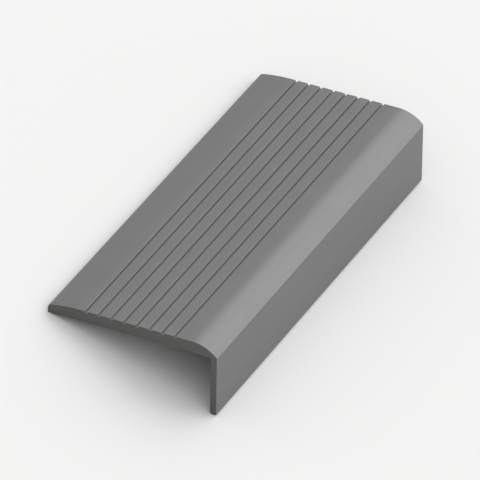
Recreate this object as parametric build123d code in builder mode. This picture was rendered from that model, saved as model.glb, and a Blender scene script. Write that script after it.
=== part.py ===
from build123d import *
from math import atan2, degrees, sqrt
import os

# Threshold plate: one length of extruded angle, a broad tread with a thin apron down one edge.
# The section is drawn as it is fitted, level, in millimetres: the underside of the tread is y = 0
# and the inner face of the apron is x = 0, so the inward corner is the drawing's origin.

# Tread: the wide leg, which is stepped on
tread_depth = 50.0  # inner face of the apron to the upright face of the lip
tread_thickness = 3.8
lip_height = 2.7  # thickness at the tip, before its upper corner is rounded
lip_radius = 1.4
lead_in_run = 10.0  # gentle rise from the lip to the full thickness

# Grip grooves: upright sides and a round bottom, side by side along the whole tread
groove_pitch = 3.9
groove_width = 0.8
groove_wall = 0.2  # upright part of each side, above the round bottom
groove_arris = 0.12  # radius where each side meets the tread's top face
nose_side_strip = 4.7  # plain metal from the start of the nose to the first groove's middle
lip_side_strip = 1.9  # least plain metal from the top of the rise to the last groove's middle

# Apron: the narrow leg, which hangs down from the tread
apron_drop = 18.5  # below the underside of the tread
apron_thickness = 2.0

# Nose: the rounded turn from the tread to the outer face of the apron
nose_radius = 11.0
nose_foot = 0.3  # height at which the nose meets the outer face, above the underside of the tread

# Small radii of the extrusion, and the deburred edge of its two sawn ends
arris_radius = 0.3
root_radius = 0.4
saw_chamfer = 0.1

plate_length = 134.0

# The nose is tangent to the tread's top face, so its run follows from its radius and its fall
nose_fall = tread_thickness - nose_foot
nose_run = sqrt(nose_radius**2 - (nose_radius - nose_fall) ** 2)

# As many grooves as the level part of the tread has room for
first_groove = apron_thickness - nose_run - nose_side_strip
last_groove_limit = -tread_depth + lead_in_run + lip_side_strip
groove_count = int((first_groove - last_groove_limit) / groove_pitch) + 1
groove_middles = [first_groove - groove_pitch * number for number in range(groove_count)]
groove_depth = groove_wall + groove_width / 2

lip_foot = (-tread_depth, 0)
lip_top = (-tread_depth, lip_height)
lead_in_top = (-tread_depth + lead_in_run, tread_thickness)
nose_top = (apron_thickness - nose_run, tread_thickness)
nose_end = (apron_thickness, nose_foot)
apron_outer_foot = (apron_thickness, -apron_drop)
apron_inner_foot = (0, -apron_drop)
root = (0, 0)

with BuildSketch() as section:
    with BuildLine():
        Line(lip_foot, lip_top)
        # The rise is an arc, tangent to the tread's top face where it leaves it
        TangentArc(lead_in_top, lip_top, tangent=(-1, 0))
        Line(lead_in_top, nose_top)
        RadiusArc(nose_top, nose_end, nose_radius)
        Polyline(nose_end, apron_outer_foot, apron_inner_foot, root, lip_foot)
    make_face()
    fillet(section.vertices().sort_by_distance(lip_top)[0], radius=lip_radius)
    # Outward corners: the lip's foot, both corners of the apron's foot, and the foot of the nose
    corner_points = (lip_foot, apron_inner_foot, apron_outer_foot, nose_end)
    corners = [section.vertices().sort_by_distance(point)[0] for point in corner_points]
    fillet(corners, radius=arris_radius)
    # Inward corner, between the two legs
    fillet(section.vertices().sort_by_distance(root)[0], radius=root_radius)
    # Each groove is the lower half of an upright slot that is centred on the tread's top face
    with Locations([(middle, tread_thickness) for middle in groove_middles]):
        SlotOverall(2 * groove_depth, groove_width, rotation=90, mode=Mode.SUBTRACT)
    mouths = [
        (middle + side * groove_width / 2, tread_thickness)
        for middle in groove_middles
        for side in (-1, 1)
    ]
    fillet([section.vertices().sort_by_distance(mouth)[0] for mouth in mouths], radius=groove_arris)

# Laid down by itself, the plate leans on the foot of its lip and the inner foot of its apron.
# Both feet have the same radius, so the lean depends on the two legs alone.
lean = degrees(atan2(apron_drop, tread_depth))
leaning = Plane.XZ.rotated((0, -lean, 0))
with BuildSketch(leaning) as leaning_section:
    add(section.sketch)

# The part's origin is on the floor, under the middle of the leaning section and half-way along.
# The section's plane stands at the far end and faces -Y, so the plate is drawn out towards -Y.
reach = leaning_section.sketch.bounding_box()
far_end = Plane(
    origin=(-reach.center().X, plate_length / 2, -reach.min.Z),
    x_dir=leaning.x_dir,
    z_dir=leaning.z_dir,
)

with BuildPart() as threshold_plate:
    with BuildSketch(far_end):
        add(section.sketch)
    extrude(amount=plate_length)
    # The saw leaves two flat ends, with the burr taken off all the way round
    sawn_ends = threshold_plate.faces().filter_by(Axis.Y)
    chamfer(sawn_ends.edges(), length=saw_chamfer)

threshold_plate.part.label = "threshold_plate"

os.makedirs("parts", exist_ok=True)
export_step(threshold_plate.part, "parts/threshold_plate.step")
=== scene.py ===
# %% [markdown]
# A threshold plate is one length of extruded metal angle. Its broad leg, the tread, is stepped on,
# and its narrow leg, the apron, hangs down along one edge. This lesson dresses such a plate. It
# starts by loading the measured model as a fixed frame, and keeps the frame's box, so that whatever
# is made later can be held against the true size.

import math

import bmesh
import bpy
from mathutils import Euler, Matrix, Vector


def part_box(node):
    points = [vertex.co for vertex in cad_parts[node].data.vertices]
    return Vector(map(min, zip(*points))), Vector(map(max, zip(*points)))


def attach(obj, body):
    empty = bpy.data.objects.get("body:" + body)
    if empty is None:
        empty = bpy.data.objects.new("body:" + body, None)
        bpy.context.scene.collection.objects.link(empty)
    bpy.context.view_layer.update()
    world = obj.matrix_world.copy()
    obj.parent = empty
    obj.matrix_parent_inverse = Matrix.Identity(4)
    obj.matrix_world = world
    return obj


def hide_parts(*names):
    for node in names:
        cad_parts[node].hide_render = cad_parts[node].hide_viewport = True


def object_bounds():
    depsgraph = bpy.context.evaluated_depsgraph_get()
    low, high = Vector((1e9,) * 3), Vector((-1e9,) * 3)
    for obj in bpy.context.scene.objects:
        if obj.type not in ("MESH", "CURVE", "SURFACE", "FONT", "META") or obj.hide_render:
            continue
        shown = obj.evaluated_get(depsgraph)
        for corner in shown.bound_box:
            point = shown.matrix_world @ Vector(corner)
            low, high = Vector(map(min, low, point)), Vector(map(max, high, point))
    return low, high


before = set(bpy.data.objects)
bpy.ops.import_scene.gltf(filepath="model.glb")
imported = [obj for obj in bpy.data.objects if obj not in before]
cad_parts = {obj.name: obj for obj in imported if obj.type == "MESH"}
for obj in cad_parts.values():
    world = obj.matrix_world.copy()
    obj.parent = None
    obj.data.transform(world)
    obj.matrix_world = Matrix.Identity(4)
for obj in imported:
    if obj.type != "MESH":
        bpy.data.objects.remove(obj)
frame_low, frame_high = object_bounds()
print("frame box in mm:", [round(1000 * side, 2) for side in frame_high - frame_low])

# %% [markdown]
# A die gives the plate one section all the way along, so the section is all there is to draw. It is
# written down as the plate is fitted, with the tread level: x runs across, from the lip to the
# apron, and z runs up. The inward corner between the two legs is the zero point. The length is the
# frame's own, because the plate lies along y there.

# %% Sizes of the two legs
MM = 0.001

TREAD_DEPTH = 50.0 * MM
TREAD_THICKNESS = 3.8 * MM
APRON_DROP = 18.5 * MM
APRON_THICKNESS = 2.0 * MM

plate_length = frame_high.y - frame_low.y
lip_foot = Vector((-TREAD_DEPTH, 0, 0))
outer_foot = Vector((APRON_THICKNESS, 0, -APRON_DROP))
inner_foot = Vector((0, 0, -APRON_DROP))
root = Vector((0, 0, 0))
print("section across in mm:", round(1000 * (TREAD_DEPTH + APRON_THICKNESS), 2))
print("section upwards in mm:", round(1000 * (TREAD_THICKNESS + APRON_DROP), 2))
print("length in mm:", round(1000 * plate_length, 2))

# %% [markdown]
# Round stretches of the section are true arcs. An arc could be a list of worked-out points, or a
# curve turned into a mesh. Here each one starts as a single vertex, which the spin operator carries
# round a centre and leaves a chain of edges behind. A full set of such chains goes into one bmesh,
# in the order in which they follow each other round the section. A quarter turn gets 18 facets, so
# the metal turns by 5 degrees from one to the next, which is too little to see.

# %% Spin an arc
QUARTER_TURN_FACETS = 18

plate = bmesh.new()
arris_layer = plate.faces.layers.float.new("arris")
chains = []


def draw_corner(point):
    """Adds a sharp corner of the section as a chain of one vertex."""
    vertex = plate.verts.new(point)
    chains.append((vertex, vertex))


def draw_arc(centre, start, angle, steps):
    """Spins a vertex from start about centre, where a positive angle turns x towards z."""
    first = plate.verts.new(start)
    spun = bmesh.ops.spin(
        plate, geom=[first], cent=centre, axis=(0, -1, 0), angle=angle, steps=steps, use_merge=False
    )
    last = next(item for item in spun["geom_last"] if isinstance(item, bmesh.types.BMVert))
    chains.append((first, last))


# %% [markdown]
# A blunt lip would trip a foot, so the tread starts low and rises in a long gentle arc that runs
# out into its level face. The centre of that arc lies straight below the point where it runs out.
# The top corner of the lip is a small arc that touches both the upright face and the long arc from
# within, and this fixes its centre and the point where the two arcs meet.

# %% Draw the lip and the rise
LIP_HEIGHT = 2.7 * MM
LIP_RADIUS = 1.4 * MM
RISE_RUN = 10.0 * MM

rise_fall = TREAD_THICKNESS - LIP_HEIGHT
rise_radius = (RISE_RUN**2 + rise_fall**2) / (2 * rise_fall)
rise_end = Vector((-TREAD_DEPTH + RISE_RUN, 0, TREAD_THICKNESS))
rise_centre = rise_end - Vector((0, 0, rise_radius))

lip_offset = -TREAD_DEPTH + LIP_RADIUS - rise_centre.x
lip_height = math.sqrt((rise_radius - LIP_RADIUS) ** 2 - lip_offset**2)
lip_centre = rise_centre + Vector((lip_offset, 0, lip_height))
rise_start = rise_centre + (lip_centre - rise_centre).normalized() * rise_radius
rise_angle = math.asin((rise_centre.x - rise_start.x) / rise_radius)

draw_corner(lip_foot)
lip_face_top = lip_centre - Vector((LIP_RADIUS, 0, 0))
draw_arc(lip_centre, lip_face_top, rise_angle - math.pi / 2, steps=QUARTER_TURN_FACETS)
draw_arc(rise_centre, rise_start, -rise_angle, steps=QUARTER_TURN_FACETS)
print("rise radius in mm:", round(1000 * rise_radius, 2))

# %% [markdown]
# The nose turns the tread down towards the apron. Its arc leaves the level face at a tangent and
# stops on the apron's outer face, a little above the underside of the tread, where it makes an edge
# that can be seen and felt. Its run across follows from its radius and from how far it falls.

# %% Work out the nose
NOSE_RADIUS = 11.0 * MM
NOSE_FOOT = 0.3 * MM

nose_fall = TREAD_THICKNESS - NOSE_FOOT
nose_angle = math.acos((NOSE_RADIUS - nose_fall) / NOSE_RADIUS)
nose_run = NOSE_RADIUS * math.sin(nose_angle)
nose_start = Vector((APRON_THICKNESS - nose_run, 0, TREAD_THICKNESS))
nose_end = Vector((APRON_THICKNESS, 0, NOSE_FOOT))
print("nose run in mm:", round(1000 * nose_run, 2))
print("nose turn in degrees:", round(math.degrees(nose_angle), 1))

# %% [markdown]
# Grip grooves run side by side along the level face. They are part of the die, so they are real
# hollows here too, and no bump: the metal at their edges and their shade are then right from every
# side. Each one has upright walls and a round bottom. As many are drawn as the face has room for,
# counted from the nose.

# %% Draw the grooves
GROOVE_PITCH = 3.9 * MM
GROOVE_WIDTH = 0.8 * MM
GROOVE_WALL = 0.2 * MM
NOSE_SIDE_STRIP = 4.7 * MM
LIP_SIDE_STRIP = 1.9 * MM

first_groove = nose_start.x - NOSE_SIDE_STRIP
last_groove_limit = rise_end.x + LIP_SIDE_STRIP
groove_count = int((first_groove - last_groove_limit) / GROOVE_PITCH) + 1
groove_depth = GROOVE_WALL + GROOVE_WIDTH / 2
half_width = Vector((GROOVE_WIDTH / 2, 0, 0))
groove_edges = []

for number in reversed(range(groove_count)):
    middle = Vector((first_groove - GROOVE_PITCH * number, 0, TREAD_THICKNESS))
    bottom_centre = middle - Vector((0, 0, GROOVE_WALL))
    draw_corner(middle - half_width)
    draw_arc(bottom_centre, bottom_centre - half_width, math.pi, steps=2 * QUARTER_TURN_FACETS)
    draw_corner(middle + half_width)
    groove_edges.extend((middle - half_width, middle + half_width))
print("grooves:", groove_count)

# %% [markdown]
# The nose, the two feet of the apron and the root follow, and plain edges join each chain to the
# following one. The nose is the broadest arc that catches the light, so its facets are finer still.
# Two arcs that touch have brought a vertex each to the same place, so doubles are merged. The
# closed ring is filled as one face, and the extrude operator draws that face out along the plate,
# as the press does with the hot metal.

# %% Close the section and draw it out
nose_centre = nose_start - Vector((0, 0, NOSE_RADIUS))
draw_arc(nose_centre, nose_start, -nose_angle, steps=2 * QUARTER_TURN_FACETS)
draw_corner(outer_foot)
draw_corner(inner_foot)
draw_corner(root)

for (_, last), (following, _) in zip(chains, chains[1:] + chains[:1]):
    plate.edges.new((last, following))
bmesh.ops.remove_doubles(plate, verts=plate.verts[:], dist=0.001 * MM)
section = bmesh.ops.edgeloop_fill(plate, edges=plate.edges[:])["faces"]
near_end = section[0]
print("section points:", len(near_end.verts), "area in mm2:", round(1e6 * near_end.calc_area(), 1))

bmesh.ops.translate(plate, vec=(0, -plate_length / 2, 0), verts=plate.verts[:])
drawn_out = bmesh.ops.extrude_face_region(plate, geom=section)["geom"]
far_vertices = [item for item in drawn_out if isinstance(item, bmesh.types.BMVert)]
bmesh.ops.translate(plate, vec=(0, plate_length, 0), verts=far_vertices)
bmesh.ops.recalc_face_normals(plate, faces=plate.faces[:])
print("faces:", len(plate.faces), "volume in mm3:", round(1e9 * plate.calc_volume(), 1))

# %% [markdown]
# No edge of an extrusion is a knife edge: the die has small radii, and they catch the light. The
# bevel operator rounds the long edges. It is told how far to stand back from an edge, and a radius
# needs a shorter way back where the two faces meet at a flatter angle, so the way back is worked
# out from that angle. The new faces are marked, so that the finish can show them rubbed a little.
# The root, deep between the legs, is never rubbed.

# %% Round the long edges
ARRIS_RADIUS = 0.3 * MM
ROOT_RADIUS = 0.4 * MM
GROOVE_ARRIS_RADIUS = 0.12 * MM


def long_edge_at(point):
    """The edge that runs along the whole plate, nearest to a point of the section."""
    long_edges = [edge for edge in plate.edges if edge.calc_length() > plate_length / 2]

    def distance(edge):
        return (edge.verts[0].co.xz - point.xz).length

    return min(long_edges, key=distance)


def round_long_edge(point, radius, rubbed):
    """Gives the long edge at a point of the section a radius, and marks how rubbed it is."""
    edge = long_edge_at(point)
    stand_back = radius * math.tan(edge.calc_face_angle() / 2)
    bevelled = bmesh.ops.bevel(
        plate, geom=[edge], offset=stand_back, offset_type="OFFSET", affect="EDGES",
        segments=QUARTER_TURN_FACETS, profile=0.5, material=-1,
    )
    for face in bevelled["faces"]:
        face[arris_layer] = rubbed


for corner in (lip_foot, nose_end, outer_foot, inner_foot):
    round_long_edge(corner, ARRIS_RADIUS, rubbed=1.0)
round_long_edge(root, ROOT_RADIUS, rubbed=0.0)
for groove_edge in groove_edges:
    round_long_edge(groove_edge, GROOVE_ARRIS_RADIUS, rubbed=0.6)
print("faces with round edges:", len(plate.faces))

# %% [markdown]
# The plate is sawn to length, and the burr of the saw is filed off all the way round both ends.
# That is a narrow bevel along the rim of each end, in two steps, so that it reads as filed by hand.

# %% File the rims of the sawn ends
SAW_CHAMFER = 0.1 * MM

ends = [face for face in plate.faces if abs(face.normal.y) > 0.99]
rims = [edge for face in ends for edge in face.edges]
filed = bmesh.ops.bevel(
    plate, geom=rims, offset=SAW_CHAMFER, offset_type="OFFSET", affect="EDGES",
    segments=2, profile=0.5, material=-1,
)
for face in filed["faces"]:
    face[arris_layer] = 1.0
print("ends:", len(ends), "faces in all:", len(plate.faces))

# %% [markdown]
# Lying loose, the plate can't keep its tread level, because the apron props one side up. It leans
# on the foot of its lip and the inner foot of its apron, and the two legs alone set how much.
# Turning the finished mesh by that angle, and setting its box on the frame's box, puts it where it
# belongs.

# %% Lean the plate and set it in the frame
lean = math.atan2(APRON_DROP, TREAD_DEPTH)
leaning = Matrix.Rotation(-lean, 4, "Y")
bmesh.ops.transform(plate, matrix=leaning, verts=plate.verts[:])

lowest = min(vertex.co.z for vertex in plate.verts)
reach = [vertex.co.x for vertex in plate.verts]
frame_middle = (frame_low + frame_high) / 2
reach_middle = (min(reach) + max(reach)) / 2
to_frame = Vector((frame_middle.x - reach_middle, frame_middle.y, frame_low.z - lowest))
bmesh.ops.translate(plate, vec=to_frame, verts=plate.verts[:])
fitted_to_frame = Matrix.Translation(to_frame) @ leaning
print("lean in degrees:", round(math.degrees(lean), 2))

# %% [markdown]
# The flat faces have to look flat and the round ones round. Smooth shading alone would bend the
# light near every small radius, so a Weighted Normal modifier lets the large faces decide. The
# measured solid has the same shape in coarser facets, so this finer piece stands in for it, and it
# rides on the same body.

# %% Make the plate an object
plate_mesh = bpy.data.meshes.new("extruded_plate")
for face in plate.faces:
    face.smooth = True
plate.to_mesh(plate_mesh)
plate.free()
plate_object = bpy.data.objects.new("extruded_plate", plate_mesh)
bpy.context.scene.collection.objects.link(plate_object)

weighted = plate_object.modifiers.new("large_faces_decide", "WEIGHTED_NORMAL")
weighted.mode = "FACE_AREA"

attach(plate_object, "root")
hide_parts("threshold_plate")

solid_low, solid_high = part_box("threshold_plate")
for axis, letter in enumerate("xyz"):
    places = [vertex.co[axis] for vertex in plate_mesh.vertices]
    gaps = (min(places) - solid_low[axis], max(places) - solid_high[axis])
    print(letter, "differs from the solid's box by, in mm:", [round(1000 * gap, 4) for gap in gaps])

# %% [markdown]
# A finish is a chain of nodes, and much of it is plain arithmetic. Written as node calls, a sum of
# three terms is hard to read. A small class wraps a socket, so that Python's own signs add the Math
# nodes, and one method adds any other node.

# %% Arithmetic on sockets
class Wire:
    """A socket that can stand in a sum. Each sign adds the Math node that works it out."""

    def __init__(self, nodes, socket):
        self.nodes = nodes
        self.socket = socket

    def __add__(self, other):
        return self.nodes.math("ADD", self, other)

    __radd__ = __add__

    def __sub__(self, other):
        return self.nodes.math("SUBTRACT", self, other)

    def __rsub__(self, other):
        return self.nodes.math("SUBTRACT", other, self)

    def __mul__(self, other):
        return self.nodes.math("MULTIPLY", self, other)

    __rmul__ = __mul__

    def __pow__(self, other):
        return self.nodes.math("POWER", self, other)

    def __gt__(self, other):
        return self.nodes.math("GREATER_THAN", self, other)

    def __lt__(self, other):
        return self.nodes.math("LESS_THAN", self, other)

    def __abs__(self):
        return self.nodes.math("ABSOLUTE", self)


class Nodes:
    """Adds nodes to one tree."""

    def __init__(self, tree):
        self.tree = tree
        tree.nodes.clear()

    def add(self, kind, settings, values):
        """Adds a node: first its settings, then its sockets' values or wires, by name or place."""
        node = self.tree.nodes.new(kind)
        for name, setting in settings.items():
            setattr(node, name, setting)
        for key, value in values.items():
            if isinstance(value, Wire):
                self.tree.links.new(value.socket, node.inputs[key])
            else:
                node.inputs[key].default_value = value
        return node

    def wire(self, node, output):
        return Wire(self, node.outputs[output])

    def math(self, operation, *values):
        node = self.add("ShaderNodeMath", {"operation": operation}, dict(enumerate(values)))
        return self.wire(node, "Value")


print("signs that add nodes: +, -, *, **, >, < and abs")

# %% [markdown]
# The die leaves fine lines that run along the plate, and the satin finish that is brushed on after
# follows them. They are noise, stretched far along the plate's length, on the object's own
# coordinates, so that each line runs unbroken over tread, nose and apron alike. Two sizes of line
# and a slow mottle vary the colour, the roughness and a very shallow bump. A noise is half way up
# on average, so a half is taken off, and it then swings about zero.

# %% Drawn lines
FINE_LINE = 0.45 * MM
BROAD_LINE = 2.2 * MM
MOTTLE_PATCH = 14 * MM
LINE_STRETCH = 0.008


def drawn_lines(nodes, place, line_width, crispness):
    """Noise whose grains are line_width across the plate, and very long along it."""
    stretched = nodes.add(
        "ShaderNodeVectorMath", {"operation": "MULTIPLY"}, {0: place, 1: (1, LINE_STRETCH, 1)}
    )
    grain = nodes.add(
        "ShaderNodeTexNoise",
        {"noise_dimensions": "3D"},
        {
            "Vector": nodes.wire(stretched, "Vector"),
            "Scale": 1 / line_width,
            "Detail": 3.0,
            "Roughness": crispness,
        },
    )
    return nodes.wire(grain, "Fac") - 0.5


def mottle(nodes, place):
    """Slow noise of even patches, for the uneven depth of a finish."""
    patches = nodes.add(
        "ShaderNodeTexNoise",
        {"noise_dimensions": "3D"},
        {"Vector": place, "Scale": 1 / MOTTLE_PATCH, "Detail": 2.0, "Roughness": 0.5},
    )
    return nodes.wire(patches, "Fac") - 0.5


print("drawn lines in mm:", round(1000 * FINE_LINE, 2), "and", round(1000 * BROAD_LINE, 2))

# %% [markdown]
# A saw leaves other lines: shallow arcs, all about the blade's centre, which stood well above the
# plate. The distance from that centre is a short sum of squares, and noise along that distance
# alone gives one ring after another, each of its own depth.

# %% Saw marks
SAW_CENTRE = Vector((30, 0, 120)) * MM
SAW_FEED = 0.35 * MM


def saw_marks(nodes, across, up):
    """Rings about the blade's centre, one for each tooth's feed."""
    distance = ((across - SAW_CENTRE.x) ** 2 + (up - SAW_CENTRE.z) ** 2) ** 0.5
    rings = nodes.add(
        "ShaderNodeTexNoise",
        {"noise_dimensions": "1D"},
        {"W": distance, "Scale": 1 / SAW_FEED, "Detail": 3.0, "Roughness": 0.7},
    )
    return nodes.wire(rings, "Fac") - 0.5


print("saw feed in mm:", 1000 * SAW_FEED)

# %% [markdown]
# The brush that gives the satin finish can't reach down into the grip grooves, so their bottoms
# stay duller. They are also painted a little darker, which is painted shade of the recess, and so
# they read as thin lines from afar. How deep a point lies has to be measured square to the tread,
# but the plate leans. A Mapping node of the Texture kind undoes a move and a turn, so with the
# plate's own lean and place it gives back the level coordinates in which the section was drawn.
# Three comparisons keep the lip, the nose and the underside out.

# %% Groove bottoms
def level_coordinates(nodes, place):
    """Where a point lay before the plate was leaned over."""
    level = nodes.add(
        "ShaderNodeMapping",
        {"vector_type": "TEXTURE"},
        {"Vector": place, "Location": to_frame, "Rotation": leaning.to_euler()},
    )
    return nodes.wire(level, "Vector")


def groove_bottoms(nodes, place):
    """0 on the tread's level face, rising to 1 half-way down a groove and below."""
    split = nodes.add("ShaderNodeSeparateXYZ", {}, {"Vector": level_coordinates(nodes, place)})
    across, up = (nodes.wire(split, letter) for letter in "XZ")
    depth = TREAD_THICKNESS - up
    reached = nodes.add(
        "ShaderNodeMapRange",
        {"interpolation_type": "SMOOTHSTEP"},
        {"Value": depth, "From Min": GROOVE_ARRIS_RADIUS / 2, "From Max": groove_depth / 2},
    )
    over_the_field = (across > rise_end.x) * (across < nose_start.x) * (depth < TREAD_THICKNESS / 2)
    return nodes.wire(reached, "Result") * over_the_field


print("dull from this depth on, in mm:", round(1000 * groove_depth / 2, 2))

# %% [markdown]
# Tones are mixed one over the other, each with its own share, as a finisher lays one coat over
# another. The Mix node repeats its sockets under the same names for numbers, vectors and colours,
# so the ones for colours are found by their places.

# %% Mixing tones
MIX_FIRST = 6
MIX_SECOND = 7
MIX_RESULT = 2


def mix_tones(nodes, share, first, second):
    """A colour part of the way from first to second."""
    mixed = nodes.add(
        "ShaderNodeMix",
        {"data_type": "RGBA", "clamp_factor": True},
        {"Factor": share, MIX_FIRST: first, MIX_SECOND: second},
    )
    return nodes.wire(mixed, MIX_RESULT)


print("colour sockets of the Mix node:", MIX_FIRST, MIX_SECOND, "and out of it", MIX_RESULT)

# %% [markdown]
# The whole plate is one dark grey satin metal, and its drawn faces stay within a tenth of one grey:
# on metal, the light that it mirrors does the rest. The sawn ends are duller, and they are also
# painted darker and a little warm, which is painted shade with a warm painted reflection. They are
# told from the drawn faces by their place along the plate, which a single comparison finds. The
# groove bottoms are painted a little darker too, which is painted shade of the recess. The marked
# round edges are a little lighter and smoother, because hands and feet rub them first. A share says
# how far a tone covers the one under it, and each pattern swings what it is added to by a little,
# up and down.

# %% The satin metal
DARK_TONE = (0.178, 0.179, 0.182, 1)
LIGHT_TONE = (0.214, 0.215, 0.218, 1)
RUBBED_TONE = (0.30, 0.30, 0.30, 1)
# painted shade of the sawn ends, with a slightly warm painted reflection
SAWN_SHADE_TONE = (0.116, 0.112, 0.105, 1)
# painted shade of the groove bottoms
HOLLOW_SHADE_TONE = (0.166, 0.167, 0.170, 1)

RUBBED_SHARE = 0.45
# the next two are shares of painted shade: on the sawn ends and in the groove bottoms
SAWN_SHADE_SHARE = 0.85
HOLLOW_SHADE_SHARE = 0.9

DRAWN_ROUGHNESS = 0.41
SAWN_ROUGHNESS = 0.46
HOLLOW_DULLER = 0.12
RUBBED_SMOOTHER = 0.06
RELIEF_HEIGHT = 0.02 * MM


def satin_metal(name):
    """The finish of the drawn faces, the sawn ends and the rubbed edges in one material, with
    painted shade on the ends and in the groove bottoms.
    """
    material = bpy.data.materials.new(name)
    material.use_nodes = True
    nodes = Nodes(material.node_tree)

    place = nodes.wire(nodes.add("ShaderNodeTexCoord", {}, {}), "Object")
    split = nodes.add("ShaderNodeSeparateXYZ", {}, {"Vector": place})
    across, along, up = (nodes.wire(split, letter) for letter in "XYZ")
    fine = drawn_lines(nodes, place, FINE_LINE, crispness=0.75)
    broad = drawn_lines(nodes, place, BROAD_LINE, crispness=0.55)
    patches = mottle(nodes, place)
    rings = saw_marks(nodes, across, up)

    sawn = abs(along) > plate_length / 2 - SAW_CHAMFER / 2
    drawn = 1 - sawn
    hollow = groove_bottoms(nodes, place) * drawn
    rubbed = nodes.wire(nodes.add("ShaderNodeAttribute", {"attribute_name": "arris"}, {}), "Fac")

    light_share = 0.5 + fine * 1.1 + broad * 0.8 + patches * 0.8
    tone = mix_tones(nodes, light_share, DARK_TONE, LIGHT_TONE)
    # painted shade on the sawn ends, slightly warm, its share swung by the saw marks
    tone = mix_tones(nodes, sawn * (SAWN_SHADE_SHARE + rings * 0.6), tone, SAWN_SHADE_TONE)
    tone = mix_tones(nodes, rubbed * (RUBBED_SHARE + patches * 0.4), tone, RUBBED_TONE)
    # painted shade in the groove bottoms
    tone = mix_tones(nodes, hollow * HOLLOW_SHADE_SHARE, tone, HOLLOW_SHADE_TONE)

    drawn_roughness = DRAWN_ROUGHNESS + fine * 0.10 + patches * 0.08 + hollow * HOLLOW_DULLER
    sawn_roughness = SAWN_ROUGHNESS + rings * 0.12
    roughness = drawn_roughness * drawn + sawn_roughness * sawn - rubbed * RUBBED_SMOOTHER

    relief = (fine * 0.6 + broad * 0.4) * drawn + rings * 1.2 * sawn
    bump = nodes.add("ShaderNodeBump", {}, {"Height": relief, "Distance": RELIEF_HEIGHT})

    surface = nodes.add(
        "ShaderNodeBsdfPrincipled",
        {},
        {
            "Base Color": tone,
            "Metallic": 1.0,
            "Roughness": roughness,
            "Normal": nodes.wire(bump, "Normal"),
        },
    )
    nodes.add("ShaderNodeOutputMaterial", {}, {"Surface": nodes.wire(surface, "BSDF")})
    return material


plate_mesh.materials.append(satin_metal("dark_satin_metal"))
print("material nodes:", len(plate_mesh.materials[0].node_tree.nodes))

# %% [markdown]
# The plate lies on a plain pale floor. A disc does for it, wide enough that its rim stays out of
# every view. Its shader has no gloss at all, so the floor keeps one tone however low the camera
# stands.

# %% Floor
FLOOR_RADIUS = 6.0
FLOOR_TONE = (0.90, 0.90, 0.895, 1)

floor_bmesh = bmesh.new()
bmesh.ops.create_circle(floor_bmesh, cap_ends=True, segments=64, radius=FLOOR_RADIUS)
bmesh.ops.translate(floor_bmesh, vec=(0, 0, frame_low.z), verts=floor_bmesh.verts[:])
floor_mesh = bpy.data.meshes.new("pale_floor")
floor_bmesh.to_mesh(floor_mesh)
floor_bmesh.free()
floor = bpy.data.objects.new("pale_floor", floor_mesh)
bpy.context.scene.collection.objects.link(floor)

floor_material = bpy.data.materials.new("pale_floor")
floor_material.use_nodes = True
floor_nodes = Nodes(floor_material.node_tree)
floor_surface = floor_nodes.add(
    "ShaderNodeBsdfPrincipled",
    {},
    {"Base Color": FLOOR_TONE, "Roughness": 1.0, "Specular IOR Level": 0.0},
)
floor_shader = floor_nodes.wire(floor_surface, "BSDF")
floor_nodes.add("ShaderNodeOutputMaterial", {}, {"Surface": floor_shader})
floor_mesh.materials.append(floor_material)
print("floor radius in m:", FLOOR_RADIUS)

# %% [markdown]
# Metal shows what stands round it. The world has two strengths: one that the camera and the metal's
# mirror images see, a plain pale backdrop in the floor's own tone, and one that lights the rest as
# a soft fill. The Light Path node tells them apart. Fill and lamp together give the floor as much
# light as shows its colour just as it is written, so floor and backdrop run into each other.

# %% World
FILL_STRENGTH = 0.82
WHITE = (1, 1, 1, 1)

world = bpy.data.worlds.new("soft_studio")
bpy.context.scene.world = world
world.use_nodes = True
world_nodes = Nodes(world.node_tree)
light_path = world_nodes.add("ShaderNodeLightPath", {}, {})
camera_sees = world_nodes.wire(light_path, "Is Camera Ray")
metal_sees = world_nodes.wire(light_path, "Is Glossy Ray")
glass_sees = world_nodes.wire(light_path, "Is Transmission Ray")
seen = world_nodes.math("MAXIMUM", world_nodes.math("MAXIMUM", camera_sees, metal_sees), glass_sees)
fill = world_nodes.add("ShaderNodeBackground", {}, {"Color": WHITE, "Strength": FILL_STRENGTH})
backdrop = world_nodes.add("ShaderNodeBackground", {}, {"Color": FLOOR_TONE, "Strength": 1.0})
either = world_nodes.add(
    "ShaderNodeMixShader",
    {},
    {0: seen, 1: world_nodes.wire(fill, "Background"), 2: world_nodes.wire(backdrop, "Background")},
)
world_nodes.add("ShaderNodeOutputWorld", {}, {"Surface": world_nodes.wire(either, "Shader")})
print("fill strength:", FILL_STRENGTH)

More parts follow.
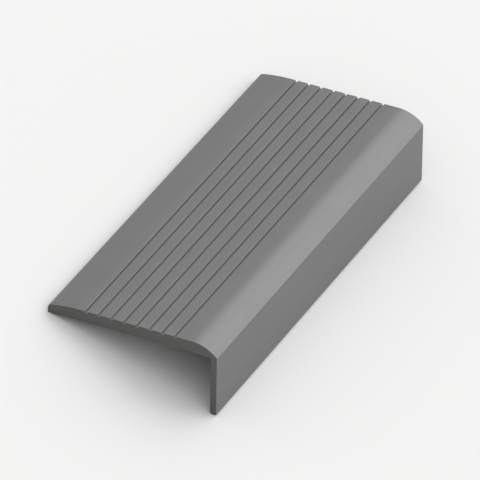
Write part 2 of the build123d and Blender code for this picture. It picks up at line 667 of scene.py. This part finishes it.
# %% [markdown]
# One large soft lamp stands behind the plate. From there the nose turns it into a bright band, and
# the near end stays in half shade. An area lamp would light the floor beneath itself too, and low
# views would show that as a white strip. A sun with a very wide disc is as soft, and lights a floor
# alike all over. Its strength is what a surface that faces it receives, so a wider disc isn't a
# brighter one.

# %% Lamp
KEY_TOWARDS = Vector((0.16, 0.76, 0.60))
KEY_WIDTH = math.radians(72)
KEY_STRENGTH = 1.0

key_light = bpy.data.lights.new("soft_key", "SUN")
key_light.angle = KEY_WIDTH
key_light.energy = KEY_STRENGTH
key_lamp = bpy.data.objects.new("soft_key", key_light)
bpy.context.scene.collection.objects.link(key_lamp)
key_lamp.rotation_mode = "QUATERNION"
key_lamp.rotation_quaternion = KEY_TOWARDS.to_track_quat("Z", "Y")
print("lamp's disc in degrees:", round(math.degrees(KEY_WIDTH)))

# %% [markdown]
# The camera stands where the photograph's camera stood. Its place and its turn are given beside a
# plate that is fitted level, and since the plate leans here, the whole stand goes through the same
# turn and move as the plate did. First the camera swings round to face the middle of the plate,
# which changes nothing in the perspective, and a long lens lets the plate fill the picture.

# %% Camera
CAMERA_PLACE = Vector((0.8529, -1.8391, 1.3254))
CAMERA_ELEVATION = math.radians(31.46)
CAMERA_AZIMUTH = math.radians(27.0)
CAMERA_AIM = Vector((-0.0235, 0, -0.0075))
CAMERA_LENS = 650.0

camera_data = bpy.data.cameras.new("camera")
camera_data.lens = CAMERA_LENS
camera = bpy.data.objects.new("camera", camera_data)
bpy.context.scene.collection.objects.link(camera)
bpy.context.scene.camera = camera

level_turn = Euler((math.pi / 2 - CAMERA_ELEVATION, 0, CAMERA_AZIMUTH)).to_quaternion()
ahead = level_turn @ Vector((0, 0, -1))
swing = ahead.rotation_difference(CAMERA_AIM - CAMERA_PLACE)
level_stand = Matrix.Translation(CAMERA_PLACE) @ (swing @ level_turn).to_matrix().to_4x4()
camera.matrix_world = fitted_to_frame @ level_stand
print("camera swings round by degrees:", round(math.degrees(swing.angle), 2))

# %% [markdown]
# The colours are shown as they are written, without a film look.

# %% Finish
bpy.context.scene.view_settings.view_transform = "Standard"
